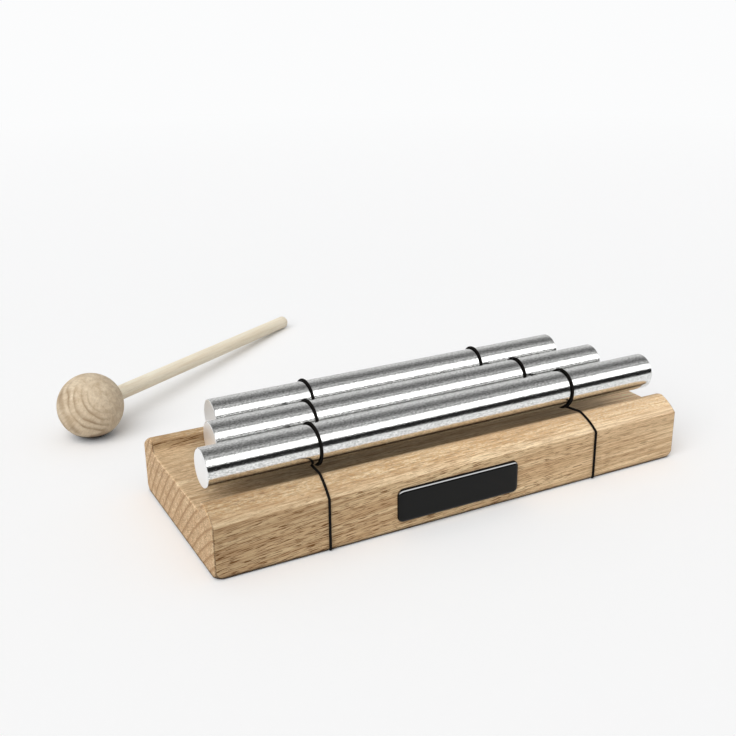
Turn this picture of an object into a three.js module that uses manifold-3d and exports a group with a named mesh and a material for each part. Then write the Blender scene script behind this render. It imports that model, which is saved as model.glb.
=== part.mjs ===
// Three-bar chime with its ball mallet, in millimetres: +X along the bars, +Y to the back, +Z up.
// A hardwood base has a routed trough between two rounded rails. Two elastic cords run round the
// base, and each takes one full turn round every bar, so the bars hang clear of the trough.
// The origin is the centre of the base's underside.
import * as THREE from 'three';
import { mergeVertices } from 'three/addons/utils/BufferGeometryUtils.js';
import Module from 'manifold-3d';

const wasm = await Module();
wasm.setup();

// Base block
const BASE_LENGTH = 208.4;
const BASE_DEPTH = 81;
const CREST_HEIGHT = 26.3; // table to the top of both rails
const RAIL_RISE = 5.3; // crease, where the face meets the rail's round top, up to the crest
const CREST_SETBACK = 9.8; // face to the start of the rail's flat crest
const CREST_FLAT = 1.2; // flat of the crest, up to the rail's inner edge
const TROUGH_DEPTH = 5.3; // crest to the trough's floor
const TROUGH_WALL_RUN = 2.6; // how far the trough's sloping wall leans in over its height
const TROUGH_FILLET = 3.5; // between the sloping wall and the floor
const FOOT_ROUND = 1.2; // long edges at the table
const END_ROUND = 0.9; // edges of the two ends, seen from the front
const CORNER_ROUND = 1; // upright corners, seen from above
const FOOT_CORNER = 5.5; // the four corners at the table, sanded round in all three views
const CUT_OVERRUN = 4;

// Bars, front to back
const BAR_DIAMETER = 15;
const BAR_LENGTHS = [201, 179.3, 164];
const BAR_PITCH = 21;
const BAR_LIFT = 0.5; // rails' crest up to the underside of the bars
const BAR_CHAMFER = 0.5;

// Elastic cords; distances along X are taken from the middle of the base
const CORD_DIAMETER = 1;
const SEAT_GAP = 0.3; // clearance between a cord and what it lies on
const CORD_FRONT_X = 60.4; // where it climbs the front face
const CORD_BACK_X = 37.4; // where it goes down the back face
const LOOP_X = [57.6, 49.2, 41]; // middle of the turn round each bar, front to back
const TURN_ADVANCE = 1.8; // sideways step of one turn
const GROOVE_WIDTH = 2;
const GROOVE_DEPTH = 1.7;
const KNOT_WIDTH = 5.8;
const KNOT_HEIGHT = 2.7;
const POCKET_SIDE_ROOM = 2.1; // round the knot in its pocket
const POCKET_END_ROOM = 0.85; // above and below the knot

// Domed plate stuck on the front face
const PLATE_LENGTH = 54.2;
const PLATE_HEIGHT = 13.6;
const PLATE_CORNER = 2.4;
const PLATE_SHIFT = -5.3; // left of the middle of the base
const PLATE_LIFT = 0.4; // middle of the face up to the middle of the plate
const PLATE_EDGE = 0.7; // upright edge of the plate
const DOME_RISE = 0.9;
const DOME_RUN = 1.6;
const GLUE_LINE = 0.3;

// Mallet, lying behind the base with its ball and the end of its stick on the table
const BALL_DIAMETER = 30;
const STICK_DIAMETER = 7;
const STICK_REACH = 178; // middle of the ball to the far end of the stick
const STICK_SOCKET = 14; // depth of the ball's hole past the ball's middle line, towards its far pole
const STICK_CHAMFER = 0.8;
const SOCKET_CHAMFER = 0.6;
const SOCKET_CLEARANCE = 0.3;
const MALLET_X = -110.4;
const MALLET_Y = 106.1;
const MALLET_HEADING = 37.1; // degrees from +X towards +Y

const finishes = {
  beech: { color: '#cdab82', roughness: 0.62, metalness: 0 },
  aluminium: { color: '#d3d5d6', roughness: 0.26, metalness: 1 },
  elastic: { color: '#17120f', roughness: 0.7, metalness: 0 },
  resin: { color: '#0d0e10', roughness: 0.12, metalness: 0 },
  turned: { color: '#dcc6a4', roughness: 0.66, metalness: 0 },
};

const X_AXIS = new THREE.Vector3(1, 0, 0);
const Y_AXIS = new THREE.Vector3(0, 1, 0);
const Z_AXIS = new THREE.Vector3(0, 0, 1);
const QUARTER = Math.PI / 2;

function piece(name, finish, geometry) {
  const mesh = new THREE.Mesh(geometry, new THREE.MeshStandardMaterial(finishes[finish]));
  mesh.name = name;
  return mesh;
}

// Booleans
function welded(geometry) {
  const bare = geometry.clone();
  bare.deleteAttribute('normal');
  bare.deleteAttribute('uv');
  return mergeVertices(bare);
}

function solid(geometry) {
  const closed = welded(geometry);
  const vertProperties = new Float32Array(closed.attributes.position.array);
  const triVerts = new Uint32Array(closed.index.array);
  return new wasm.Manifold(new wasm.Mesh({ numProp: 3, vertProperties, triVerts }));
}

function surface(body) {
  const mesh = body.getMesh();
  const geometry = new THREE.BufferGeometry();
  geometry.setAttribute('position', new THREE.BufferAttribute(mesh.vertProperties, 3));
  geometry.setIndex(new THREE.BufferAttribute(mesh.triVerts, 1));
  geometry.computeVertexNormals();
  return geometry;
}

// Extrudes an outline centred along one direction; across and up are the outline's own two axes
function extruded(outline, length, across, up, curveSegments = 6) {
  const geometry = new THREE.ExtrudeGeometry(outline, { depth: length, bevelEnabled: false, curveSegments });
  const along = across.clone().cross(up);
  geometry.translate(0, 0, -length / 2);
  return geometry.applyMatrix4(new THREE.Matrix4().makeBasis(across, up, along));
}

function roundedRectangle(width, height, radius) {
  const right = width / 2;
  const top = height / 2;
  const r = Math.min(radius, right, top);
  const shape = new THREE.Shape();
  shape.moveTo(r - right, -top);
  shape.lineTo(right - r, -top);
  shape.absarc(right - r, r - top, r, -QUARTER, 0);
  shape.lineTo(right, top - r);
  shape.absarc(right - r, top - r, r, 0, QUARTER);
  shape.lineTo(r - right, top);
  shape.absarc(r - right, top - r, r, QUARTER, 2 * QUARTER);
  shape.lineTo(-right, r - top);
  shape.absarc(r - right, r - top, r, 2 * QUARTER, 3 * QUARTER);
  return shape;
}

// Rail: an arc from the crease at the top of the face to the level crest
const faceHeight = CREST_HEIGHT - RAIL_RISE;
const railRadius = (CREST_SETBACK ** 2 + RAIL_RISE ** 2) / (2 * RAIL_RISE);
const rail = {
  y: BASE_DEPTH / 2 - CREST_SETBACK,
  z: CREST_HEIGHT - railRadius,
  creaseAngle: Math.atan2(railRadius - RAIL_RISE, CREST_SETBACK),
};

// Cross-section of the base: rails at both long edges, with the trough between them
function baseSection() {
  const face = BASE_DEPTH / 2;
  const foot = Math.min(FOOT_ROUND, faceHeight / 2);
  const floor = CREST_HEIGHT - TROUGH_DEPTH;
  const inner = face - CREST_SETBACK - CREST_FLAT;
  const wallTurn = Math.atan2(TROUGH_DEPTH, TROUGH_WALL_RUN);
  const filletRun = Math.min(TROUGH_FILLET * Math.tan(wallTurn / 2), TROUGH_DEPTH / 2);
  const fillet = filletRun / Math.tan(wallTurn / 2);
  const wallFoot = inner - TROUGH_WALL_RUN;
  const filletY = wallFoot - filletRun;
  const filletZ = floor + fillet;
  const shape = new THREE.Shape();
  shape.moveTo(foot - face, 0);
  shape.lineTo(face - foot, 0);
  shape.absarc(face - foot, foot, foot, -QUARTER, 0);
  shape.lineTo(face, faceHeight);
  shape.absarc(rail.y, rail.z, railRadius, rail.creaseAngle, QUARTER);
  shape.lineTo(inner, CREST_HEIGHT);
  shape.absarc(filletY, filletZ, fillet, wallTurn - QUARTER, -QUARTER, true);
  shape.absarc(-filletY, filletZ, fillet, -QUARTER, -QUARTER - wallTurn, true);
  shape.lineTo(-inner, CREST_HEIGHT);
  shape.absarc(-rail.y, rail.z, railRadius, QUARTER, 2 * QUARTER - rail.creaseAngle);
  shape.lineTo(-face, faceHeight);
  shape.lineTo(-face, foot);
  shape.absarc(foot - face, foot, foot, 2 * QUARTER, 3 * QUARTER);
  return shape;
}

// Each cord's groove under the base runs straight from its front place to its back place
function grooveEnds(side) {
  return [
    new THREE.Vector3(side * CORD_FRONT_X, -BASE_DEPTH / 2, 0),
    new THREE.Vector3(side * CORD_BACK_X, BASE_DEPTH / 2, 0),
  ];
}

function grooveCut(side) {
  const [front, back] = grooveEnds(side);
  const along = back.clone().sub(front).normalize();
  const across = Z_AXIS.clone().cross(along);
  const half = GROOVE_WIDTH / 2;
  const roof = GROOVE_DEPTH - half;
  const shape = new THREE.Shape();
  shape.moveTo(-half, -CUT_OVERRUN);
  shape.lineTo(half, -CUT_OVERRUN);
  shape.lineTo(half, roof);
  shape.absarc(0, roof, half, 0, 2 * QUARTER);
  const cut = extruded(shape, front.distanceTo(back) + 2 * CUT_OVERRUN, across, Z_AXIS, 3);
  const middle = front.clone().add(back).divideScalar(2);
  return cut.translate(middle.x, middle.y, 0);
}

// Each cord's knot sits in a round pocket halfway along the groove
const pocketDepth = KNOT_HEIGHT + 2 * POCKET_END_ROOM;

function pocketCut(side) {
  const [front, back] = grooveEnds(side);
  const middle = front.clone().add(back).divideScalar(2);
  const radius = KNOT_WIDTH / 2 + POCKET_SIDE_ROOM;
  const cut = new THREE.CylinderGeometry(radius, radius, 2 * pocketDepth, 32);
  return cut.rotateX(QUARTER).translate(middle.x, middle.y, 0);
}

// A corner of the base at the table keeps only what lies inside a ball. The ball cuts each of the
// three faces that meet there in an arc of FOOT_CORNER, which just touches the edges.
function footCornerCut(sideX, sideY) {
  const ball = new THREE.SphereGeometry(FOOT_CORNER * Math.SQRT2, 32, 24);
  const size = FOOT_CORNER + CUT_OVERRUN;
  const corner = new THREE.BoxGeometry(size, size, size);
  corner.translate((sideX * size) / 2, (sideY * size) / 2, -size / 2);
  const middle = [sideX * (BASE_LENGTH / 2 - FOOT_CORNER), sideY * (BASE_DEPTH / 2 - FOOT_CORNER), FOOT_CORNER];
  return solid(corner).subtract(solid(ball.rotateX(QUARTER))).translate(middle);
}

function baseBlock() {
  const middleHeight = CREST_HEIGHT / 2;
  const frontOutline = roundedRectangle(BASE_LENGTH, CREST_HEIGHT, END_ROUND);
  const planOutline = roundedRectangle(BASE_LENGTH, BASE_DEPTH, CORNER_ROUND);
  const thick = BASE_DEPTH + 2 * CUT_OVERRUN;
  const tall = CREST_HEIGHT + 2 * CUT_OVERRUN;
  const frontView = extruded(frontOutline, thick, X_AXIS, Z_AXIS).translate(0, 0, middleHeight);
  const planView = extruded(planOutline, tall, X_AXIS, Y_AXIS).translate(0, 0, middleHeight);
  let body = solid(extruded(baseSection(), BASE_LENGTH, Y_AXIS, Z_AXIS, 10));
  body = body.intersect(solid(frontView)).intersect(solid(planView));
  for (const side of [-1, 1]) {
    body = body.subtract(solid(grooveCut(side))).subtract(solid(pocketCut(side)));
    body = body.subtract(footCornerCut(side, -1)).subtract(footCornerCut(side, 1));
  }
  return piece('base_block', 'beech', surface(body));
}

// Bars: solid rods with a small chamfer at each end
const barAxisHeight = CREST_HEIGHT + BAR_LIFT + BAR_DIAMETER / 2;
const barPlaces = BAR_LENGTHS.map((length, row) => ({
  length,
  y: (row - (BAR_LENGTHS.length - 1) / 2) * BAR_PITCH,
}));

function revolved(outline, segments) {
  const points = outline.map(([radius, along]) => new THREE.Vector2(radius, along));
  return new THREE.LatheGeometry(points, segments).rotateZ(-QUARTER);
}

function bar(name, { length, y }) {
  const radius = BAR_DIAMETER / 2;
  const end = length / 2;
  const outline = [
    [0, -end], [radius - BAR_CHAMFER, -end], [radius, BAR_CHAMFER - end],
    [radius, end - BAR_CHAMFER], [radius - BAR_CHAMFER, end], [0, end],
  ];
  const mesh = piece(name, 'aluminium', revolved(outline, 48));
  mesh.position.set(0, y, barAxisHeight);
  return mesh;
}

// A route whose steps fall on its own points, so bends get close steps and straights get long ones
class PointRoute extends THREE.CatmullRomCurve3 {
  getPointAt(share, target) {
    return this.getPoint(share, target);
  }

  getTangentAt(share, target) {
    return this.getTangent(share, target);
  }
}

function tube(points, diameter, sides, closed = false) {
  const rim = Array.from({ length: sides }, (_, i) => {
    const angle = (i / sides) * 2 * Math.PI;
    return new THREE.Vector2(Math.cos(angle), Math.sin(angle)).multiplyScalar(diameter / 2);
  });
  const route = new PointRoute(points, closed, 'centripetal');
  const steps = closed ? points.length : points.length - 1;
  return new THREE.ExtrudeGeometry(new THREE.Shape(rim), { steps, extrudePath: route, bevelEnabled: false });
}

// Straight distance between parts of a route that lie well apart along it, less the cord itself
function leastGap(points, diameter) {
  let travelled = 0;
  const along = points.map((p, i) => (travelled += i ? p.distanceTo(points[i - 1]) : 0));
  let least = Infinity;
  for (let i = 0; i < points.length; i += 1) {
    for (let j = i + 1; j < points.length; j += 1) {
      if (along[j] - along[i] > 6 * diameter) least = Math.min(least, points[i].distanceTo(points[j]));
    }
  }
  return least - diameter;
}

// Cord route, worked out in the plane of Y and Z and given its X on the way.
// The cord's middle line keeps this distance from the surfaces that it lies on.
const cordOffset = SEAT_GAP + CORD_DIAMETER / 2;
const loopRadius = BAR_DIAMETER / 2 + cordOffset;

function arc(y, z, radius, from, to, steps) {
  return Array.from({ length: steps + 1 }, (_, i) => {
    const angle = from + ((to - from) * i) / steps;
    return [y + radius * Math.cos(angle), z + radius * Math.sin(angle)];
  });
}

// Over the front rail the cord leaves on the line that just touches the rail above and the bar below
function railDeparture() {
  const dy = barPlaces[0].y + rail.y;
  const dz = barAxisHeight - rail.z;
  const reach = Math.hypot(dy, dz);
  const lean = Math.acos(Math.min(1, (railRadius + cordOffset + loopRadius) / reach));
  return Math.atan2(dz, dy) + lean;
}

// From the mouth of the groove up the front face and over the front rail
function frontRun() {
  const face = -BASE_DEPTH / 2;
  const departure = railDeparture();
  const crease = 2 * QUARTER - rail.creaseAngle;
  return [
    ...arc(face, GROOVE_DEPTH, cordOffset, 3 * QUARTER, 2 * QUARTER, 4),
    ...arc(face, faceHeight, cordOffset, 2 * QUARTER, crease, 3),
    ...arc(-rail.y, rail.z, railRadius + cordOffset, crease, departure, 8).slice(1),
  ];
}

function cordPoints(side) {
  const departure = railDeparture();
  const firstTouch = departure + 2 * QUARTER;
  const bottom = 3 * QUARTER;
  const points = [];
  const front = frontRun();
  const [creaseY, meetY] = [-BASE_DEPTH / 2, barPlaces[0].y];
  const entry = LOOP_X[0] + TURN_ADVANCE / 2;
  for (const [y, z] of front) {
    const share = Math.max(0, (y - creaseY) / (meetY - creaseY));
    points.push(new THREE.Vector3(side * (CORD_FRONT_X + (entry - CORD_FRONT_X) * share), y, z));
  }
  barPlaces.forEach(({ y }, row) => {
    const last = row === barPlaces.length - 1;
    const from = row === 0 ? firstTouch : bottom;
    const to = 4 * QUARTER + (last ? 2 * bottom - firstTouch : bottom);
    const turn = arc(y, barAxisHeight, loopRadius, from, to, 26);
    turn.forEach(([ty, tz], i) => {
      const x = LOOP_X[row] + TURN_ADVANCE * (0.5 - i / (turn.length - 1));
      points.push(new THREE.Vector3(side * x, ty, tz));
    });
  });
  const exit = LOOP_X[LOOP_X.length - 1] - TURN_ADVANCE / 2;
  const leaveY = barPlaces[barPlaces.length - 1].y;
  for (const [y, z] of front.toReversed()) {
    const share = Math.min(1, (-y - leaveY) / (BASE_DEPTH / 2 - leaveY));
    points.push(new THREE.Vector3(side * (exit + (CORD_BACK_X - exit) * share), -y, z));
  }
  return points;
}

// The two ends of each cord run in along the groove to the knot in its pocket
function withEnds(points, side) {
  const [front, back] = grooveEnds(side);
  const middle = front.clone().add(back).divideScalar(2);
  const height = GROOVE_DEPTH - cordOffset;
  const along = back.clone().sub(front).normalize();
  const stop = KNOT_WIDTH / 2 + SEAT_GAP;
  const start = middle.clone().addScaledVector(along, -stop).setZ(height);
  const end = middle.clone().addScaledVector(along, stop).setZ(height);
  return [start, ...points, end];
}

function cord(name, side) {
  const points = withEnds(cordPoints(side), side);
  console.log(`${name}: least gap to itself ${leastGap(points, CORD_DIAMETER).toFixed(2)} mm`);
  return piece(name, 'elastic', tube(points, CORD_DIAMETER, 8));
}

// The knot is a flat trefoil of the same cord
function knot(name, side) {
  const [front, back] = grooveEnds(side);
  const middle = front.clone().add(back).divideScalar(2);
  const flat = (KNOT_WIDTH - CORD_DIAMETER) / 6;
  const tall = (KNOT_HEIGHT - CORD_DIAMETER) / 2;
  const steps = 48;
  const points = Array.from({ length: steps }, (_, i) => {
    const t = (i / steps) * 2 * Math.PI;
    const x = Math.sin(t) + 2 * Math.sin(2 * t);
    const y = Math.cos(t) - 2 * Math.cos(2 * t);
    return new THREE.Vector3(x * flat, y * flat, -Math.sin(3 * t) * tall);
  });
  const mesh = piece(name, 'elastic', tube(points, CORD_DIAMETER, 6, true));
  mesh.position.set(middle.x, middle.y, pocketDepth / 2);
  return mesh;
}

// Black plate with a flat back and a domed face, stuck to the front face left of the middle
function plate() {
  const dome = new THREE.ExtrudeGeometry(roundedRectangle(PLATE_LENGTH, PLATE_HEIGHT, PLATE_CORNER), {
    depth: PLATE_EDGE,
    bevelThickness: DOME_RISE,
    bevelSize: DOME_RUN,
    bevelOffset: -DOME_RUN,
    bevelSegments: 4,
    curveSegments: 5,
  });
  const behind = new THREE.BoxGeometry(2 * PLATE_LENGTH, 2 * PLATE_HEIGHT, 2 * DOME_RISE);
  behind.translate(0, 0, -DOME_RISE);
  const mesh = piece('front_plate', 'resin', surface(solid(dome).subtract(solid(behind))));
  mesh.rotation.x = QUARTER;
  mesh.position.set(PLATE_SHIFT, -BASE_DEPTH / 2 - GLUE_LINE, faceHeight / 2 + PLATE_LIFT);
  return mesh;
}

// Mallet: a turned ball with a blind hole for its stick
function ball() {
  const radius = BALL_DIAMETER / 2;
  const hole = STICK_DIAMETER / 2 + SOCKET_CLEARANCE;
  const mouth = Math.asin((hole + SOCKET_CHAMFER) / radius);
  const steps = 26;
  const outline = [[0, STICK_SOCKET - radius], [hole, STICK_SOCKET - radius]];
  outline.push([hole, radius * Math.cos(mouth) - SOCKET_CHAMFER]);
  const skin = Array.from({ length: steps + 1 }, (_, i) => {
    const angle = mouth + ((Math.PI - mouth) * i) / steps;
    return [i === steps ? 0 : radius * Math.sin(angle), radius * Math.cos(angle)];
  });
  outline.push(...skin);
  return piece('mallet_ball', 'turned', revolved(outline.reverse(), 48));
}

function stick() {
  const radius = STICK_DIAMETER / 2;
  const inner = STICK_SOCKET - BALL_DIAMETER / 2 + SOCKET_CLEARANCE;
  const outline = [
    [0, inner], [radius - STICK_CHAMFER, inner], [radius, inner + STICK_CHAMFER],
    [radius, STICK_REACH - STICK_CHAMFER], [radius - STICK_CHAMFER, STICK_REACH], [0, STICK_REACH],
  ];
  return piece('mallet_stick', 'turned', revolved(outline, 36));
}

function mallet() {
  const group = new THREE.Group();
  const drop = Math.asin((BALL_DIAMETER - STICK_DIAMETER) / 2 / STICK_REACH);
  group.add(ball(), stick());
  group.rotation.order = 'ZYX';
  group.rotation.set(0, drop, THREE.MathUtils.degToRad(MALLET_HEADING));
  group.position.set(MALLET_X, MALLET_Y, BALL_DIAMETER / 2);
  return group;
}

const chime = new THREE.Group();
chime.add(baseBlock(), plate());
['bar_front', 'bar_middle', 'bar_back'].forEach((name, row) => chime.add(bar(name, barPlaces[row])));
for (const [word, side] of [['left', -1], ['right', 1]]) {
  chime.add(cord(`cord_${word}`, side), knot(`cord_knot_${word}`, side));
}
chime.add(mallet());

export default chime;
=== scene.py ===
"""Looks of the three-bar chime and its mallet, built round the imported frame.

Shapes are worked out in millimetres in the part's own frame and made in metres: +X along the bars,
+Y to the back, +Z up, origin at the centre of the base's underside.
"""

import math

import bmesh
import bpy
import numpy as np
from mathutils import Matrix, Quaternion, Vector

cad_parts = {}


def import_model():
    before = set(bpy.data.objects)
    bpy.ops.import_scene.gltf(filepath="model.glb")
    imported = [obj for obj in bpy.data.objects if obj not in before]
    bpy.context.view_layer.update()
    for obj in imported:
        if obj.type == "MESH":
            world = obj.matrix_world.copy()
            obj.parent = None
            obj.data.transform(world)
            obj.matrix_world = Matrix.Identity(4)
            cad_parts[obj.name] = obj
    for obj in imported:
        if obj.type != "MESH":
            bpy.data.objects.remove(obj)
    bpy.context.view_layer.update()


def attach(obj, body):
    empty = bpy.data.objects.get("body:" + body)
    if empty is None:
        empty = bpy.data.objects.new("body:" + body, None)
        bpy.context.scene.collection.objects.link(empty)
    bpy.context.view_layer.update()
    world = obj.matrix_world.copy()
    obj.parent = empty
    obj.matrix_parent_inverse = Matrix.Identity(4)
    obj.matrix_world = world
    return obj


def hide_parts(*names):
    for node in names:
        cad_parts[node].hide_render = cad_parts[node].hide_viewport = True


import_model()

MM = 0.001
QUARTER = math.pi / 2

# Base block
BASE_LENGTH, BASE_DEPTH, CREST, TROUGH_DEPTH = 208.4, 81.0, 26.3, 5.3
RAIL_RISE, SETBACK, RAIL_RADIUS, CROWN_ROUND = 5.4, 8.9, 24.0, 2.6
BROW_RUN, BROW_DROP, WALL_RUN, FILLET, FOOT_ROUND = 2.9, 0.7, 1.2, 2.4, 1.2
END_ROUND, EDGE_EASE, FOOT_CORNER = 0.95, 1.0, 5.5
FACE = BASE_DEPTH / 2
HALF_LENGTH = BASE_LENGTH / 2
TROUGH_FLOOR = CREST - TROUGH_DEPTH
CREASE, RIDGE = TROUGH_FLOOR, TROUGH_FLOOR + RAIL_RISE

# Bars, front to back: node, body, length and place across the base
BAR_RADIUS, BAR_CHAMFER, BAR_AXIS = 7.5, 0.5, 34.3
CHAMFER_SHARES = [(1.4, 0.0), (1.0, 0.0), (0.32, 0.22), (0.08, 0.55), (0.0, 1.0)]
BARS = [("bar_front", "front_bar", 201.0, -21.0), ("bar_middle", "middle_bar", 179.3, 0.0),
        ("bar_back", "back_bar", 164.0, 21.0)]

# Cords, tight on what they lie on, with their knots in pockets under the base
CORD_RADIUS = 0.5
CORD_FRONT_X, CORD_BACK_X, LOOP_X, TURN_ADVANCE = 60.4, 37.4, [57.6, 49.2, 41.0], 1.8
GROOVE_WIDTH, GROOVE_DEPTH, OVERRUN = 1.3, 1.25, 3.0
KNOT_WIDTH, KNOT_HEIGHT, KNOT_OVERLAP = 5.8, 2.7, 0.4
POCKET_RADIUS, POCKET_DEPTH, POCKET_MOUTH, POCKET_ROUND = 5.0, 4.4, 0.4, 0.6

# Woven cover of the cords: strands each way, height as a share of the radius, repeat along the cord
BRAID_STRANDS, BRAID_RELIEF_SHARE, BRAID_REPEAT = 4, 0.035, 0.85

# Plate, with a hair of glue behind it
PLATE_LENGTH, PLATE_HEIGHT, PLATE_CORNER, LEAST_CORNER = 54.2, 13.6, 2.4, 0.15
PLATE_X, PLATE_Z, PLATE_GLUE, PLATE_EDGE = -5.3, 10.9, 0.02, 0.15
DOME_RISE, DOME_RUN, DOME_START_ANGLE = 1.38, 1.7, 0.08
DOME_TOP = [(1.5, 0.03), (4.0, 0.05)]

# Mallet: its ball rests on the table and its stick slopes down to its far end
BALL_RADIUS, STICK_RADIUS, STICK_REACH = 14.95, 3.5, 177.7
HOLE_CLEARANCE, HOLE_CHAMFER = 0.04, 0.35
STICK_START, STICK_EASE, STICK_CORNER_IN, STICK_CORNER_BACK = 0.3, 0.7, 0.2, 0.3
MALLET_AT, MALLET_HEADING = (-110.4, 106.1), math.radians(37.1)
DROP = math.asin((BALL_RADIUS - STICK_RADIUS) / STICK_REACH)
MALLET_ORIGIN = Vector((*MALLET_AT, BALL_RADIUS))
MALLET_ALONG = Vector((math.cos(DROP) * math.cos(MALLET_HEADING), math.cos(DROP) * math.sin(MALLET_HEADING),
                       -math.sin(DROP)))

# Fineness: points round each round piece, steps along the cords, and rings that keep flat faces flat
TURNED_SIDES, STICK_SIDES, POCKET_SIDES, CORD_SIDES = 96, 64, 48, 16
CORD_STEP, KNOT_STEP, KNOT_POINTS, KINK_EASE = 0.22, 0.2, 240, 2.0
FOOT_SLICE_START, BASE_RING_INSET, BAR_RING_INSET = 0.6, 12, 4
BAR_END_RINGS, STICK_NEAR_RING, STICK_FAR_RING, STICK_END_RING = (2.0, 4.5), 1.0, 6, 1.5


# Node trees: each helper takes plain values or the sockets of other nodes

def node(tree, kind, inputs=None, **settings):
    made = tree.nodes.new("ShaderNode" + kind)
    for key, value in settings.items():
        setattr(made, key, value)
    for key, value in (inputs or {}).items():
        if isinstance(value, bpy.types.NodeSocket):
            tree.links.new(value, made.inputs[key])
        else:
            made.inputs[key].default_value = value
    return made


def calc(tree, operation, *values):
    return node(tree, "Math", dict(enumerate(values)), operation=operation).outputs[0]


def plus(tree, a, b):
    return calc(tree, "ADD", a, b)


def minus(tree, a, b):
    return calc(tree, "SUBTRACT", a, b)


def times(tree, first, *others):
    for other in others:
        first = calc(tree, "MULTIPLY", first, other)
    return first


def over(tree, a, b):
    return calc(tree, "DIVIDE", a, b)


def absolute(tree, value):
    return calc(tree, "ABSOLUTE", value)


def opposite(tree, share):
    """One less a share."""
    return minus(tree, 1.0, share)


def vector_calc(tree, operation, *values):
    return node(tree, "VectorMath", dict(enumerate(values)), operation=operation)


def split(tree, vector):
    return node(tree, "SeparateXYZ", {0: vector}).outputs


def ramp(tree, value, stops):
    """Value through a ramp; each stop is (place, grey) or (place, (r, g, b))."""
    made = node(tree, "ValToRGB", {0: value})
    elements = made.color_ramp.elements
    while len(elements) < len(stops):
        elements.new(0.5)
    for element, (place, colour) in zip(elements, stops):
        element.position = place
        element.color = (*colour, 1) if isinstance(colour, tuple) else (colour, colour, colour, 1)
    return made.outputs[0]


def mix(tree, share, a, b, blend="MIX"):
    made = node(tree, "Mix", data_type="RGBA", blend_type=blend)
    for socket, value in ((made.inputs[0], share), (made.inputs[6], a), (made.inputs[7], b)):
        if isinstance(value, bpy.types.NodeSocket):
            tree.links.new(value, socket)
        else:
            socket.default_value = (*value, 1) if isinstance(value, tuple) else value
    return made.outputs[2]


def tinted(tree, tone, tint):
    """A tone multiplied by a tint."""
    return mix(tree, 1.0, tone, tint, "MULTIPLY")


def spot(tree, place, scale=(1, 1, 1), shift=(0, 0, 0), turn=(0, 0, 0)):
    """A place vector scaled, turned by degrees and shifted."""
    made = node(tree, "Mapping", {"Vector": place, "Scale": scale, "Location": shift})
    made.inputs["Rotation"].default_value = tuple(math.radians(a) for a in turn)
    return made.outputs[0]


def noise(tree, place, scale, detail=2.0, rough=0.5):
    """Noise from 0 to 1 at a place; its spots are about 1 / scale long."""
    made = node(tree, "TexNoise", {"Vector": place, "Scale": scale, "Detail": detail, "Roughness": rough})
    return made.outputs["Fac"]


def stretched_noise(tree, place, scale, shift=(0, 0, 0), detail=2.0, rough=0.5):
    """Noise with a scale of its own along each axis."""
    return noise(tree, spot(tree, place, scale, shift), 1.0, detail, rough)


def bump(tree, height, millimetres_high, under=None):
    """A normal that follows a height from 0 to 1, over another bump if one is given."""
    inputs = {"Height": height, "Distance": millimetres_high * MM}
    if under is not None:
        inputs["Normal"] = under
    return node(tree, "Bump", inputs).outputs[0]


def material(name, **sockets):
    """A material with its Principled shader's plain values set; returns (material, tree, shader)."""
    made = bpy.data.materials.new(name)
    made.use_nodes = True
    shader = made.node_tree.nodes["Principled BSDF"]
    for key, value in sockets.items():
        shader.inputs[key.replace("_", " ")].default_value = value
    return made, made.node_tree, shader


def finish_with(tree, shader, tone, roughness, normal):
    """Links what every material varies over its surface."""
    for key, value in (("Base Color", tone), ("Roughness", roughness), ("Normal", normal)):
        tree.links.new(value, shader.inputs[key])


def millimetres(tree):
    """The piece's own coordinates in millimetres, and its own normal."""
    coordinates = node(tree, "TexCoord")
    return spot(tree, coordinates.outputs["Object"], scale=(1000, 1000, 1000)), coordinates.outputs["Normal"]


# Wood

# The tones by height are set in shares of this many millimetres
TONE_HEIGHT = 30.0


def grain_place(tree, place, along, centre, tilt):
    """Millimetres turned so that the grain runs along X; tilt bends it by a slope and a curvature."""
    turn = Vector(along).rotation_difference(Vector((1, 0, 0)))
    made = node(tree, "Mapping", {"Vector": place, "Location": tuple(-(turn @ Vector(centre)))})
    made.inputs["Rotation"].default_value = turn.to_euler("XYZ")
    if not tilt:
        return made.outputs[0]
    axes = split(tree, made.outputs[0])
    slope = minus(tree, tilt[0], times(tree, axes["X"], tilt[1]))
    height = minus(tree, axes["Z"], times(tree, axes["X"], slope))
    return node(tree, "CombineXYZ", {0: axes["X"], 1: axes["Y"], 2: height}).outputs[0]


def ring_distance(tree, place, axes, pith, ring_step, seed, wobble, sway):
    """Millimetres from the pith line, wobbling slowly and rippled by a share of a ring."""
    shift = stretched_noise(tree, place, (2 * sway, sway, sway), (seed, 0, 0))
    ripple = stretched_noise(tree, place, (0.03, 0.22, 0.22), (0, seed, 0))
    across = minus(tree, axes["Y"], pith[0])
    upright = minus(tree, axes["Z"], pith[1])
    far = calc(tree, "SQRT", plus(tree, times(tree, across, across), times(tree, upright, upright)))
    far = plus(tree, far, times(tree, minus(tree, shift, 0.5), wobble))
    return plus(tree, far, times(tree, ripple, 0.2 * ring_step))


def late_wood(tree, far, ring_step, soft):
    """The dark late wood of each ring, blurred if soft."""
    if soft:
        stops = [(0.0, 0.3), (0.2, 0.05), (0.45, 0.1), (0.75, 0.75), (0.88, 1.0), (1.0, 0.3)]
    else:
        stops = [(0.0, 0.45), (0.08, 0.06), (0.4, 0.0), (0.7, 0.16), (0.9, 1.0), (0.95, 0.95), (1.0, 0.45)]
    return ramp(tree, calc(tree, "FRACT", over(tree, far, ring_step)), stops)


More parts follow.
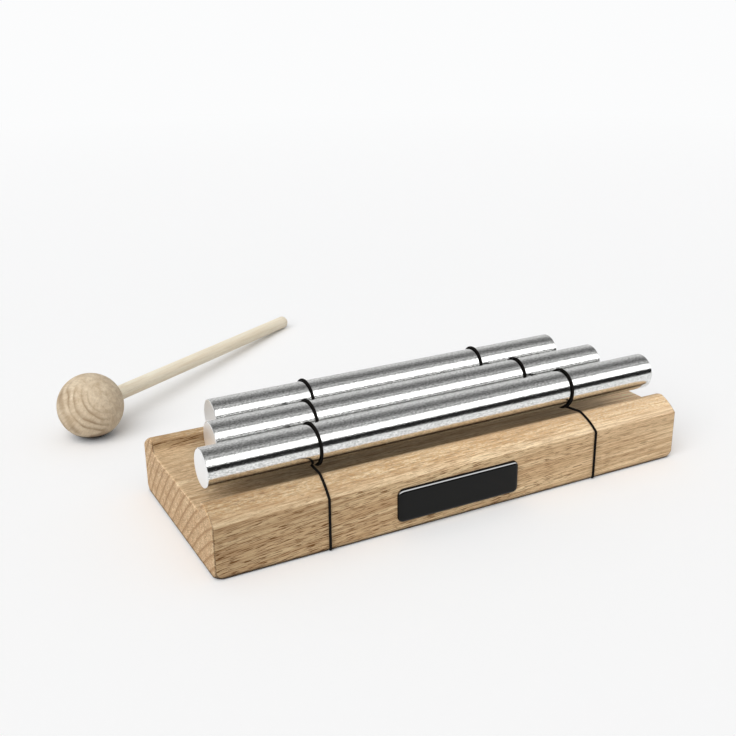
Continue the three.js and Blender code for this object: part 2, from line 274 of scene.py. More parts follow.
def ring_strength(tree, place, endwise, seed, ring_side, ring_end):
    """How bold the rings are: even on the end grain, in patches on the long faces."""
    uneven = stretched_noise(tree, place, (0.02, 0.11, 0.11), (seed, seed, 0))
    along_side = ramp(tree, uneven, [(0.38, 0.35 * ring_side), (0.6, ring_side)])
    return plus(tree, times(tree, endwise, ring_end), times(tree, opposite(tree, endwise), along_side))


def bold_side_share(tree, own, centre, bold_side):
    """Falls from 1 to nearly 0 across the ball, away from the side where its rings show."""
    reach = vector_calc(tree, "DOT_PRODUCT", vector_calc(tree, "SUBTRACT", own, centre).outputs[0], bold_side)
    share = plus(tree, over(tree, reach.outputs["Value"], 2 * BALL_RADIUS), 0.5)
    return ramp(tree, share, [(0.55, 0.08), (0.85, 1.0)])


def dash_marks(tree, place, seed):
    """Short dark dashes on the long faces, dots on the end grain, in loose patches."""
    dash = stretched_noise(tree, place, (0.2, 3.2, 3.2), (0, seed, seed), 1)
    patches = stretched_noise(tree, place, (0.02, 0.16, 0.16), (seed, 0, seed))
    return times(tree, ramp(tree, dash, [(0.545, 0.0), (0.615, 1.0)]),
                 ramp(tree, patches, [(0.36, 0.5), (0.56, 1.0)]))


def paint_base_light_and_shade(tree, tone, own_axes, facing, raised, along_grain):
    """Painted shade on the base: upright corners, trough under the bars, inner walls, front brow; painted
    light on the trough's ends.
    """
    # Painted shade: darker on the rounded upright edges at the ends
    turned = calc(tree, "MINIMUM", absolute(tree, facing["X"]), absolute(tree, facing["Y"]))
    tone = tinted(tree, tone, ramp(tree, turned, [(0.25, 1.0), (0.6, 0.55)]))
    # Painted light and shade on the trough: lighter towards its ends, painted shade under the bars
    out = over(tree, absolute(tree, own_axes["Y"]), FACE)
    endward = over(tree, absolute(tree, own_axes["X"]), HALF_LENGTH)
    under = ramp(tree, endward, [(0.6, 0.58), (0.78, 0.44), (0.9, 0.0)])
    trough = times(tree, opposite(tree, raised), ramp(tree, out, [(0.68, 1.0), (0.7, 0.0)]))
    change = times(tree, trough, along_grain, minus(tree, 0.22, under))
    tone = tinted(tree, tone, plus(tree, 1.0, change))
    # Painted shade on the walls between trough and crest, much fainter at the back
    height = over(tree, own_axes["Z"], TONE_HEIGHT)
    less_at_back = ramp(tree, own_axes["Y"], [(0.0, 1.0), (0.01, 0.12)])
    wall = times(tree, ramp(tree, out, [(0.645, 0.0), (0.67, 0.55), (0.695, 0.55), (0.71, 0.0)]),
                 ramp(tree, height, [(0.68, 0.0), (0.7, 1.0), (0.838, 1.0), (0.85, 0.0)]), less_at_back)
    tone = mix(tree, times(tree, wall, along_grain), tone, (0.07, 0.03, 0.012))
    # Painted shade on the front rail's brow, under the edge of the front bar
    crest = ramp(tree, over(tree, own_axes["Y"], -FACE),
                 [(0.66, 0.0), (0.69, 0.66), (0.715, 0.54), (0.735, 0.25), (0.75, 0.0)])
    brow_shade = times(tree, crest, ramp(tree, height, [(0.72, 0.0), (0.76, 1.0)]))
    return mix(tree, times(tree, brow_shade, along_grain), tone, (0.058, 0.034, 0.018))


def wood(name, light, dark, ring, pith, ring_step, seed, roughness=0.55, flecks=0.5, fine=0.3,
         ring_side=0.3, ring_end=0.8, along=(1, 0, 0), centre=(0, 0, 0), tilt=None, wobble=10.0, sway=0.006,
         painted_light_drift=None, ends=(1.0, 1.0, 1.0), tops=(1.0, 1.0, 1.0), heart=0.0, mottled=0.0,
         soft=False, bold_side=None, foot=None, base_light_and_shade=False):
    """Solid wood: rings round a pith line, fibres along the grain, dark flecks and pores.

    light, dark and ring are colours, pith is the pith line's place across the grain in millimetres,
    painted_light_drift is painted light, the tone at stated places along X, ends tints the end grain and
    tops is painted light that lightens what faces up. The rings fade within heart of the pith line and away
    from the side that bold_side points to, soft gives them blurred lines, foot is painted shade, the tone by
    height in centimetres, mottled spots the raised tops, and base_light_and_shade paints light and shade on
    the base alone.
    """
    made, tree, shader = material(name, Specular_IOR_Level=0.1)
    own, normal = millimetres(tree)
    own_axes = split(tree, own)
    facing = split(tree, normal)
    place = grain_place(tree, own, along, centre, tilt)
    axes = split(tree, place)
    across_fibres = absolute(tree, vector_calc(tree, "DOT_PRODUCT", normal, along).outputs["Value"])
    endwise = ramp(tree, across_fibres, [(0.55, 0.0), (0.85, 1.0)])
    upward = ramp(tree, facing["Z"], [(0.3, 0.0), (0.6, 1.0)])
    raised = ramp(tree, over(tree, own_axes["Z"], TONE_HEIGHT), [(0.74, 0.0), (0.8, 1.0)])
    # Rings
    far = ring_distance(tree, place, axes, pith, ring_step, seed, wobble, sway)
    late = late_wood(tree, far, ring_step, soft)
    strength = ring_strength(tree, place, endwise, seed, ring_side, ring_end)
    if heart:
        strength = times(tree, strength, ramp(tree, over(tree, far, 3 * heart), [(0.2, 0.15), (0.42, 1.0)]))
    if bold_side:
        strength = times(tree, strength, bold_side_share(tree, own, centre, bold_side))
    # Soft bands and long streaks
    bands = stretched_noise(tree, place, (0.009, 0.26, 0.26), (0, 0, seed), 3, 0.6)
    streaks = stretched_noise(tree, place, (0.03, 1.3, 1.3), (seed, 0, 5), 3, 0.6)
    fibre = stretched_noise(tree, place, (0.12, 4.5, 4.5), (seed, seed, 0), 4, 0.65)
    tone = mix(tree, ramp(tree, bands, [(0.36, 0.0), (0.66, 1.0)]), light, dark)
    tone = mix(tree, times(tree, late, strength), tone, ring)
    tone = mix(tree, ramp(tree, streaks, [(0.42, 0.0), (0.64, 1.7 * fine)]), tone, ring)
    tone = mix(tree, ramp(tree, fibre, [(0.35, 0.0), (0.75, fine)]), tone, ring)
    # Flecks and pores, fewer on the tops and towards the right end, and spots on the raised tops
    deep = (ring[0] * 0.5, ring[1] * 0.42, ring[2] * 0.34)
    dashes = dash_marks(tree, place, seed)
    fewer = times(tree, opposite(tree, times(tree, upward, 0.5)),
                  ramp(tree, over(tree, axes["X"], HALF_LENGTH), [(0.2, 1.0), (0.75, 0.55)]))
    tone = mix(tree, times(tree, dashes, flecks, fewer), tone, deep)
    pore = stretched_noise(tree, place, (1.1, 6, 6), (seed, 3, 0), 2, 0.6)
    pores = ramp(tree, pore, [(0.6, 0.0), (0.7, 1.0)])
    tone = mix(tree, times(tree, pores, 0.5 * flecks), tone, deep)
    mottle = stretched_noise(tree, place, (0.7, 1.5, 1.5), (0, 0, 2), 2, 0.6)
    spots = times(tree, ramp(tree, mottle, [(0.46, 0.0), (0.62, mottled)]), times(tree, upward, raised))
    tone = mix(tree, spots, tone, (ring[0] * 1.25, ring[1] * 1.2, ring[2]))
    # Tints of the end grain, painted light on what faces up, painted shade low down and on the base, and
    # painted light rising along the piece
    tone = mix(tree, endwise, tone, tinted(tree, tone, ends))
    tone = mix(tree, upward, tone, tinted(tree, tone, tops))
    # Painted shade: darker towards the bottom, where the underside stands in shade
    if foot:
        tone = tinted(tree, tone, ramp(tree, over(tree, own_axes["Z"], 10.0), foot))
    # Painted shade on the base under the bars, on its walls, brow and upright edges, and painted light on the
    # trough's ends
    if base_light_and_shade:
        tone = paint_base_light_and_shade(tree, tone, own_axes, facing, raised, opposite(tree, endwise))
    # Painted light: the tone rises from the left end to the right, where more light falls
    if painted_light_drift:
        tone = tinted(tree, tone, ramp(tree, plus(tree, over(tree, axes["X"], BASE_LENGTH), 0.5), painted_light_drift))
    shine = ramp(tree, fibre, [(0.25, roughness - 0.08), (0.8, roughness + 0.1)])
    relief = minus(tree, minus(tree, times(tree, fibre, 0.5), times(tree, dashes, 0.6)), pores)
    finish_with(tree, shader, tone, shine, bump(tree, relief, 0.05))
    return made


# Metal, cord cover and resin

def drawn_aluminium():
    """Semi-bright drawn rod: fine lengthwise grain, speckle, and turning rings on the sawn ends."""
    made, tree, shader = material("drawn_aluminium", Metallic=1.0)
    place, _ = millimetres(tree)
    grain = stretched_noise(tree, place, (0.55, 2.2, 2.2), detail=4, rough=0.7)
    speckle = stretched_noise(tree, place, (1.1, 2.4, 2.4), (5, 0, 0), 3, 0.75)
    dents = stretched_noise(tree, place, (0.35, 0.7, 0.7), (0, 0, 9), 2, 0.6)
    lines = stretched_noise(tree, place, (0.02, 3.5, 3.5), (0, 7, 0), 3, 0.7)
    tone = mix(tree, ramp(tree, speckle, [(0.38, 0.0), (0.62, 1.0)]), (0.53, 0.535, 0.52), (1.0, 1.0, 0.99))
    tone = mix(tree, ramp(tree, lines, [(0.4, 0.0), (0.7, 0.14)]), tone, (0.64, 0.64, 0.65))
    radius = node(tree, "Attribute", attribute_name="turning").outputs["Fac"]
    sawn = ramp(tree, over(tree, radius, BAR_RADIUS), [(0.93, 1.0), (0.95, 0.0)])
    tone = mix(tree, sawn, tone, (0.95, 0.955, 0.96))
    rough = plus(tree, ramp(tree, grain, [(0.3, 0.05), (0.75, 0.12)]), times(tree, sawn, 0.24))
    rings = calc(tree, "SINE", times(tree, radius, 38.0))
    relief = bump(tree, dents, 0.025, under=bump(tree, speckle, 0.025))
    finish_with(tree, shader, tone, rough, bump(tree, rings, 0.001, under=relief))
    return made


def braided_cord():
    """Black woven cover: a touch lighter on the scuffed crowns, with broken fibres."""
    made, tree, shader = material("braided_cord", Specular_IOR_Level=0.06)
    place, _ = millimetres(tree)
    fuzz = noise(tree, place, 9.0, 3, 0.7)
    patches = noise(tree, place, 0.35)
    crown = node(tree, "Attribute", attribute_name="crown").outputs["Fac"]
    tone = mix(tree, fuzz, (0.0025, 0.0022, 0.002), (0.009, 0.008, 0.007))
    tone = mix(tree, times(tree, crown, patches), tone, (0.016, 0.0135, 0.0115))
    finish_with(tree, shader, tone, ramp(tree, fuzz, [(0.3, 0.6), (0.8, 0.85)]), bump(tree, fuzz, 0.03))
    return made


def black_resin():
    """Clear resin domed over black: deep gloss with a faint orange peel, dust and hair scratches."""
    made, tree, shader = material("black_resin", IOR=2.0)
    place, normal = millimetres(tree)
    # Painted highlight: the specular is high only on the rim that leans up, so only there it mirrors the
    # window, and low on the face and the rest of the rim
    rim = ramp(tree, split(tree, normal)["Z"], [(0.3, 0.068), (0.42, 1.0), (0.68, 1.0), (0.78, 0.068)])
    tree.links.new(rim, shader.inputs["Specular IOR Level"])
    peel = noise(tree, place, 0.35)
    dust = noise(tree, place, 3.0, 3, 0.8)
    dusty = ramp(tree, dust, [(0.6, 0.0), (0.8, 0.5)])
    tone = mix(tree, dusty, (0.0030, 0.0032, 0.0030), (0.015, 0.015, 0.014))
    tone = mix(tree, ramp(tree, peel, [(0.3, 0.0), (0.8, 1.0)]), tone, (0.005, 0.0052, 0.0046))
    scratch = noise(tree, spot(tree, place, scale=(0.15, 1, 6), turn=(0, 20, 0)), 1.0, 3, 0.7)
    finish_with(tree, shader, tone, ramp(tree, scratch, [(0.4, 0.04), (0.72, 0.1)]), bump(tree, peel, 0.02))
    return made


# Meshes: points are given in millimetres

def linked(name, data):
    """A new object in the scene that holds a mesh, a camera or a lamp."""
    thing = bpy.data.objects.new(name, data)
    bpy.context.scene.collection.objects.link(thing)
    return thing


def bare_mesh(name, verts, faces):
    mesh = bpy.data.meshes.new(name)
    mesh.from_pydata((np.asarray(verts, float) * MM).tolist(), [], faces)
    return mesh


def smooth_but(mesh, sharp):
    """Smooth shading, but with hard edges above an angle in degrees."""
    mesh.shade_smooth()
    mesh.set_sharp_from_angle(angle=math.radians(sharp))


def made_object(name, verts, faces, look, sharp=30, attributes=None):
    """A smooth object with its material, hard edges above an angle, and values on its points."""
    mesh = bare_mesh(name, verts, faces)
    mesh.update()
    for key, values in (attributes or {}).items():
        mesh.attributes.new(key, "FLOAT", "POINT").data.foreach_set("value", values)
    smooth_but(mesh, sharp)
    mesh.materials.append(look)
    return linked(name, mesh)


def apply_modifiers(thing, sharp=None):
    """Bakes the modifiers into the mesh; an angle in degrees sets its hard edges anew."""
    view = bpy.context.evaluated_depsgraph_get()
    mesh = bpy.data.meshes.new_from_object(thing.evaluated_get(view))
    thing.modifiers.clear()
    thing.data = mesh
    if sharp:
        smooth_but(mesh, sharp)


def ring_faces(rows, around, closed=False):
    """Quads between successive rings of points, back to the first ring if closed, else capped."""
    faces = []
    for i in range(rows if closed else rows - 1):
        a, b = i * around, (i + 1) % rows * around
        faces += [(a + j, a + (j + 1) % around, b + (j + 1) % around, b + j) for j in range(around)]
    if not closed:
        last = (rows - 1) * around
        faces += [tuple(reversed(range(around))), tuple(range(last, last + around))]
    return faces


def arc(y, z, radius, start, stop, steps):
    return [(y + radius * math.cos(a), z + radius * math.sin(a)) for a in np.linspace(start, stop, steps + 1)]


def eased(corners, steps=5):
    """A closed outline of (y, z, radius) corners with each corner rounded to its radius."""
    outline = []
    for i, (y, z, radius) in enumerate(corners):
        if not radius:
            outline.append((y, z))
            continue
        corner = Vector((y, z))
        before = (Vector(corners[i - 1][:2]) - corner).normalized()
        after = (Vector(corners[(i + 1) % len(corners)][:2]) - corner).normalized()
        half = before.angle(after) / 2
        run = radius / math.tan(half)
        middle = corner + (before + after).normalized() * radius / math.sin(half)
        start, end = corner + before * run - middle, corner + after * run - middle
        turn = start.angle_signed(end)
        for k in range(steps + 1):
            angle = -turn * k / steps
            c, s = math.cos(angle), math.sin(angle)
            outline.append((middle.x + start.x * c - start.y * s, middle.y + start.x * s + start.y * c))
    return outline


# Base block

def rail_arc():
    """The rail's crowned slope from its crease to its ridge: centre, and the angles of its two ends."""
    crease, ridge = Vector((FACE, CREASE)), Vector((FACE - SETBACK, RIDGE))
    chord = ridge - crease
    out = Vector((chord.y, -chord.x)).normalized()
    centre = (crease + ridge) / 2 - out * math.sqrt(RAIL_RADIUS ** 2 - chord.length_squared / 4)
    return centre, *(math.atan2(p.y - centre.y, p.x - centre.x) for p in (crease, ridge))


RAIL_CENTRE, CREASE_ANGLE, RIDGE_ANGLE = rail_arc()


def base_section():
    """The base's outline across its length: foot, face, rail, brow, wall and trough, mirrored in Y."""
    ridge = FACE - SETBACK
    brow = ridge - BROW_RUN
    # The arc stops short of the ridge, where the crown's round corner takes over
    rail = [(y, z, 0) for y, z in arc(*RAIL_CENTRE, RAIL_RADIUS, CREASE_ANGLE, RIDGE_ANGLE, 9)[1:-2]]
    half = [(FACE, 0, FOOT_ROUND), (FACE, CREASE, EDGE_EASE), *rail, (ridge, RIDGE, CROWN_ROUND),
            (brow, RIDGE - BROW_DROP, EDGE_EASE), (brow - WALL_RUN, TROUGH_FLOOR, FILLET)]
    return eased(half + [(-y, z, radius) for y, z, radius in reversed(half)])


def shortfall(radius, inset):
    """How far a rounded edge has drawn back at a distance in from the end."""
    return radius - math.sqrt(max(radius ** 2 - max(radius - inset, 0) ** 2, 0))


def inward(outline):
    """Unit directions into a closed outline that runs anticlockwise, one for each point."""
    p = np.asarray(outline, float)
    edges = np.roll(p, -1, 0) - p
    edges /= np.linalg.norm(edges, axis=1)[:, None]
    along = edges + np.roll(edges, 1, 0)
    along /= np.linalg.norm(along, axis=1)[:, None]
    return np.stack([-along[:, 1], along[:, 0]], 1)


def round_foot_corners(block):
    """Sands the four corners at the table: each keeps only what lies inside a ball."""
    work = bmesh.new()
    work.from_mesh(block.data)
    ends = Vector((HALF_LENGTH, FACE, 0)) * MM
    # Slices give the rounded corners enough points
    for inset in np.linspace(FOOT_SLICE_START, FOOT_CORNER, 9) * MM:
        slices = [((s * (ends.x - inset), 0, 0), (1, 0, 0)) for s in (-1, 1)]
        slices += [((0, s * (ends.y - inset), 0), (0, 1, 0)) for s in (-1, 1)]
        slices.append(((0, 0, inset), (0, 0, 1)))
        for at, facing in slices:
            parts = work.verts[:] + work.edges[:] + work.faces[:]
            bmesh.ops.bisect_plane(work, geom=parts, plane_co=at, plane_no=facing, dist=1e-7)
    inset = FOOT_CORNER * MM
    diagonal = math.sqrt(2)
    for vert in work.verts:
        sides = Vector((math.copysign(1, vert.co.x), math.copysign(1, vert.co.y), 1))
        middle = Vector((sides.x * (ends.x - inset), sides.y * (ends.y - inset), inset))
        out = vert.co - middle
        outer = out.x * sides.x > 0 and out.y * sides.y > 0 and out.z < 0
        if outer and out.length > inset * diagonal:
            vert.co = middle + out.normalized() * inset * diagonal
    work.to_mesh(block.data)
    work.free()


def groove_line(side):
    """Ends of the straight groove under the base, at its front and its back face."""
    return Vector((side * CORD_FRONT_X, -FACE, 0)), Vector((side * CORD_BACK_X, FACE, 0))


def groove_cutter(side):
    """A bar with a round top that runs past both faces and below the base."""
    front, back = groove_line(side)
    along = (back - front).normalized()
    across = Vector((-along.y, along.x, 0))
    half = GROOVE_WIDTH / 2
    outline = [(half, -OVERRUN), *arc(0, GROOVE_DEPTH - half, half, 0, math.pi, 8), (-half, -OVERRUN)]
    verts = [end + across * u + Vector((0, 0, w))
             for end in (front - along * OVERRUN, back + along * OVERRUN) for u, w in outline]
    return linked("groove_cut", bare_mesh("groove_cut", verts, ring_faces(2, len(outline))))


def pocket_cutter(side):
    """A drill halfway along the groove, with an eased mouth and bottom edge."""
    front, back = groove_line(side)
    middle = (front + back) / 2
    angles = np.linspace(0, 2 * math.pi, POCKET_SIDES, endpoint=False)
    profile = [(POCKET_RADIUS + POCKET_MOUTH, -OVERRUN), (POCKET_RADIUS + POCKET_MOUTH, 0),
               (POCKET_RADIUS, POCKET_MOUTH), (POCKET_RADIUS, POCKET_DEPTH - POCKET_ROUND),
               (POCKET_RADIUS - POCKET_ROUND, POCKET_DEPTH)]
    verts = [(middle.x + r * math.cos(a), middle.y + r * math.sin(a), z) for r, z in profile for a in angles]
    return linked("pocket_cut", bare_mesh("pocket_cut", verts, ring_faces(len(profile), POCKET_SIDES)))


def base_block(look):
    """The section drawn out along X, its ends rounded, its foot corners sanded, its grooves cut."""
    section = np.asarray(base_section(), float)
    into = inward(section)
    insets = [END_ROUND * (1 - math.cos(QUARTER * k / 6)) for k in range(7)]
    inner = HALF_LENGTH - BASE_RING_INSET
    stations = [inset - HALF_LENGTH for inset in insets] + list(np.linspace(-inner, inner, 9))
    stations += [HALF_LENGTH - inset for inset in reversed(insets)]
    verts = []
    for x in stations:
        ring = section + into * shortfall(END_ROUND, HALF_LENGTH - abs(x))
        verts += [(x, y, z) for y, z in ring]
    block = made_object("base_wood", verts, ring_faces(len(stations), len(section)), look)
    round_foot_corners(block)
    cutters = [make(side) for side in (-1, 1) for make in (groove_cutter, pocket_cutter)]
    for tool in cutters:
        cut = block.modifiers.new("cut", "BOOLEAN")
        cut.object, cut.operation, cut.solver = tool, "DIFFERENCE", "EXACT"
    apply_modifiers(block, 50)
    for tool in cutters:
        bpy.data.objects.remove(tool)
    block.modifiers.new("normals", "WEIGHTED_NORMAL").keep_sharp = True
    apply_modifiers(block)
    return block


# Turned pieces

def lathe(name, profile, around, look, origin, along, sharp=30):
    """Turns (radius, distance) points round a line; radius 0 at an end closes it there.

    Where the points run forward along the line, the faces point inward, towards it.
    """
    along = along.normalized()
    side = along.cross(Vector((0, 0, 1))).normalized()
    up = side.cross(along)
    verts, rings, turning = [], [], []
    for radius, reach in profile:
        centre = origin + along * reach
        if radius == 0:
            rings.append([len(verts)])
            verts.append(centre)
            turning.append(0.0)
            continue
        rings.append(list(range(len(verts), len(verts) + around)))
        for k in range(around):
            angle = 2 * math.pi * k / around
            verts.append(centre + side * radius * math.cos(angle) + up * radius * math.sin(angle))
            turning.append(radius)
    faces = []
    for a, b in zip(rings, rings[1:]):
        for k in range(around):
            n = (k + 1) % around
            if len(a) == 1:
                faces.append((a[0], b[n], b[k]))
            elif len(b) == 1:
                faces.append((a[k], a[n], b[0]))
            else:
                faces.append((a[k], a[n], b[n], b[k]))
    return made_object(name, verts, faces, look, sharp, {"turning": turning})


def bar(name, length, y, look):
    """A rod with rounded chamfers, whose points are shares of the chamfer in and back from its corner."""
    end = length / 2
    r, c = BAR_RADIUS, BAR_CHAMFER
    edge = [(r - inner * c, back * c) for inner, back in CHAMFER_SHARES]
    face = [(radius, 0.0) for radius in (0.0, *BAR_END_RINGS)] + edge
    left = [(radius, reach - end) for radius, reach in face]
    right = [(radius, end - reach) for radius, reach in reversed(face)]
    middle = [(r, x) for x in np.linspace(-end + BAR_RING_INSET, end - BAR_RING_INSET, 9)]
    axis = Vector((0, y, BAR_AXIS))
    return lathe(name, left + middle + right, TURNED_SIDES, look, axis, Vector((1, 0, 0)), 40)


def ball(look):
    """The mallet's ball, open at the chamfered mouth of its blind hole."""
    hole = STICK_RADIUS + HOLE_CLEARANCE
    mouth = math.asin((hole + HOLE_CHAMFER) / BALL_RADIUS)
    skin = [(BALL_RADIUS * math.sin(q), BALL_RADIUS * math.cos(q)) for q in np.linspace(math.pi, mouth, 61)]
    skin[0] = (0, -BALL_RADIUS)
    skin += [(hole, BALL_RADIUS * math.cos(mouth) - HOLE_CHAMFER), (hole, 0.0), (0, 0.0)]
    return lathe("turned_ball", skin, TURNED_SIDES, look, MALLET_ORIGIN, MALLET_ALONG)


def stick(look):
    """The mallet's stick, from the bottom of the hole to an eased far end."""
    r, c, end = STICK_RADIUS, STICK_EASE, STICK_REACH
    near = [(0, STICK_START), (r - c, STICK_START)]
    body = [(r, q) for q in np.linspace(STICK_NEAR_RING, end - STICK_FAR_RING, 12)]
    far = [(r, end - c), (r - STICK_CORNER_IN, end - STICK_CORNER_BACK), (r - c, end), (STICK_END_RING, end),
           (0, end)]
    return lathe("turned_stick", near + body + far, STICK_SIDES, look, MALLET_ORIGIN, MALLET_ALONG)


# Cords

def cord_route(side):
    """Middle line of one cord from its knot round the base and the bars and back, in millimetres."""
    offset = CORD_RADIUS
    loop = BAR_RADIUS + offset
    top = CROWN_ROUND + offset
    front_y, back_y = BARS[0][3], BARS[-1][3]
    ridge_y = RAIL_CENTRE.x + (RAIL_RADIUS - CROWN_ROUND) * math.cos(RIDGE_ANGLE)
    ridge_z = RAIL_CENTRE.y + (RAIL_RADIUS - CROWN_ROUND) * math.sin(RIDGE_ANGLE)
    # The straight run from the rail's crown to the first bar touches both circles, on opposite sides
    dy, dz = front_y + ridge_y, BAR_AXIS - ridge_z
    departure = math.atan2(dz, dy) + math.acos((top + loop) / math.hypot(dy, dz))
    touch = departure + math.pi
    # Up the front face, over the crease, along the rail and over its crown
    crease, ridge = math.pi - CREASE_ANGLE, math.pi - RIDGE_ANGLE
    climb = (arc(-FACE, GROOVE_DEPTH, offset, 3 * QUARTER, 2 * QUARTER, 8)
             + arc(-FACE, CREASE, offset, 2 * QUARTER, crease, 5)
             + arc(-RAIL_CENTRE.x, RAIL_CENTRE.y, RAIL_RADIUS + offset, crease, ridge, 12)[1:]
             + arc(-ridge_y, ridge_z, top, ridge, departure, 6)[1:])
    entry, leave = LOOP_X[0] + TURN_ADVANCE / 2, LOOP_X[-1] - TURN_ADVANCE / 2
    points = []
    for y, z in climb:
        share = max(0.0, (y + FACE) / (front_y + FACE))
        points.append((side * (CORD_FRONT_X + (entry - CORD_FRONT_X) * share), y, z))
    # One turn round each bar; the cord goes from bar to bar at their lowest points
    for row, (_, _, _, y) in enumerate(BARS):
        start = touch if row == 0 else 3 * QUARTER
        stop = 4 * QUARTER + (6 * QUARTER - touch if row == len(BARS) - 1 else 3 * QUARTER)
        turn = arc(y, BAR_AXIS, loop, start, stop, 96)
        for i, (ty, tz) in enumerate(turn):
            points.append((side * (LOOP_X[row] + TURN_ADVANCE * (0.5 - i / (len(turn) - 1))), ty, tz))
    for y, z in reversed(climb):
        share = min(1.0, (-y - back_y) / (FACE - back_y))
        points.append((side * (leave + (CORD_BACK_X - leave) * share), -y, z))
    # Along the groove to the knot, from both sides
    front, back = groove_line(side)
    middle, along = (front + back) / 2, (back - front).normalized()
    stop, height = KNOT_WIDTH / 2 - KNOT_OVERLAP, GROOVE_DEPTH - offset
    start, end = middle - along * stop, middle + along * stop
    return [(start.x, start.y, height), *points, (end.x, end.y, height)]


def spaced(points, step, closed=False):
    """The route at even steps; on an open one the kinks in X are eased."""
    route = np.asarray(points, float)
    if closed:
        route = np.vstack([route, route[:1]])
    reach = np.concatenate([[0], np.cumsum(np.linalg.norm(np.diff(route, axis=0), axis=1))])
    keep = np.concatenate([[True], np.diff(reach) > 1e-9])
    route, reach = route[keep], reach[keep]
    count = max(int(round(reach[-1] / step)), 8)
    at = np.linspace(0, reach[-1], count + 1)
    line = np.stack([np.interp(at, reach, route[:, k]) for k in range(3)], 1)
    if closed:
        return line[:-1]
    width = int(KINK_EASE / step)
    padded = np.concatenate([np.repeat(line[:1, 0], width), line[:, 0], np.repeat(line[-1:, 0], width)])
    window = np.hanning(2 * width + 1)
    line[:, 0] = np.convolve(padded, window / window.sum(), "valid")
    return line


def carried_frame(line, closed):
    """Directions along a route and, carried along it without twist, to its side."""
    ahead = np.roll(line, -1, 0) - np.roll(line, 1, 0)
    if not closed:
        ahead[0], ahead[-1] = line[1] - line[0], line[-1] - line[-2]
    ahead /= np.linalg.norm(ahead, axis=1)[:, None]
    side = np.cross(ahead[0], (0.3, 0.5, 0.8))
    sides = []
    for t in ahead:
        side = side - t * np.dot(side, t)
        side /= np.linalg.norm(side)
        sides.append(side)
    return ahead, np.array(sides)


def closing_twist(ahead, sides):
    """The turn that brings the last side direction of a closed route back to the first."""
    first = sides[0] - ahead[0] * np.dot(sides[0], ahead[0])
    return math.atan2(np.dot(np.cross(sides[-1], first), ahead[0]), np.dot(sides[-1], first))


def braided_tube(name, line, look, closed=False):
    """A round cord with the low ridges of its woven cover along a route in millimetres."""
    count = len(line)
    ahead, sides = carried_frame(line, closed)
    twist = closing_twist(ahead, sides) if closed else 0.0
    reach = np.concatenate([[0], np.cumsum(np.linalg.norm(np.diff(line, axis=0), axis=1))])
    angles = np.linspace(0, 2 * math.pi, CORD_SIDES, endpoint=False)
    verts, crowns = [], []
    for i in range(count):
        up = np.cross(ahead[i], sides[i])
        turn = angles + twist * i / count
        phase = 2 * math.pi * reach[i] / BRAID_REPEAT
        left, right = np.cos(BRAID_STRANDS * angles + phase), np.cos(BRAID_STRANDS * angles - phase)
        # Strands of one hand pass over those of the other in turn
        crown = np.maximum(left * (0.5 + 0.5 * right), right * (0.5 - 0.5 * left))
        r = CORD_RADIUS * (1 - BRAID_RELIEF_SHARE) + CORD_RADIUS * BRAID_RELIEF_SHARE * crown
        verts += list(line[i] + np.outer(np.cos(turn) * r, sides[i]) + np.outer(np.sin(turn) * r, up))
        crowns += list(np.clip(crown, 0, 1))
    return made_object(name, verts, ring_faces(count, CORD_SIDES, closed), look, 75, {"crown": crowns})


def cord(name, side, look):
    return braided_tube(name, spaced(cord_route(side), CORD_STEP), look)


def knot(name, side, look):
    """A closed trefoil of the same cord that stands in for the knot in its pocket."""
    front, back = groove_line(side)
    middle = (front + back) / 2
    flat, tall = (KNOT_WIDTH - 2 * CORD_RADIUS) / 6, (KNOT_HEIGHT - 2 * CORD_RADIUS) / 2
    t = np.linspace(0, 2 * math.pi, KNOT_POINTS, endpoint=False)
    line = np.stack([middle.x + flat * (np.sin(t) + 2 * np.sin(2 * t)),
                     middle.y + flat * (np.cos(t) - 2 * np.cos(2 * t)),
                     POCKET_DEPTH / 2 - tall * np.sin(3 * t)], 1)
    return braided_tube(name, spaced(line, KNOT_STEP, closed=True), look, closed=True)


# Plate

def plate_outline(inset):
    """The plate's rounded rectangle drawn in by an inset."""
    r = max(PLATE_CORNER - inset, LEAST_CORNER)
    a, b = PLATE_LENGTH / 2 - inset - r, PLATE_HEIGHT / 2 - inset - r
    corners = enumerate(((a, b), (-a, b), (-a, -b), (a, -b)))
    return [point for k, (x, z) in corners for point in arc(x, z, r, k * QUARTER, (k + 1) * QUARTER, 8)]


def plate(look):
    """A rounded plate whose clear top swells from an upright edge."""
    loops = [(0.0, 0.0), (0.0, PLATE_EDGE / 2)]
    loops += [(DOME_RUN * (1 - math.cos(q)), PLATE_EDGE + DOME_RISE * math.sin(q))
              for q in np.linspace(DOME_START_ANGLE, QUARTER, 14)]
    loops += [(DOME_RUN + run, PLATE_EDGE + DOME_RISE + rise) for run, rise in DOME_TOP]
    verts = [(PLATE_X + x, -FACE - PLATE_GLUE - out, PLATE_Z + z)
             for inset, out in loops for x, z in plate_outline(inset)]
    return made_object("domed_plate", verts, ring_faces(len(loops), len(plate_outline(0))), look, 50)


# Stage
PALE, ROOM_DARK = (0.97, 0.973, 0.976), (0.02, 0.02, 0.022)
FLOOR_REACH, GLOW_METRES = 20000.0, 4.0
ROOM_REACH, ROOM_FRONT, ROOM_HEIGHT = 6000.0, -400.0, 0.4
LENS, CAMERA_AT = 49.653, (-198.06, -333.70, 188.98)
AZIMUTH, ELEVATION, ROLL = -27.713, 20.093, -0.668
AMBIENT, AMBIENT_IN_GLOSS, ROOM_LIGHT, WINDOW_LIGHT = 0.52, 0.08, 1.15, 1.6

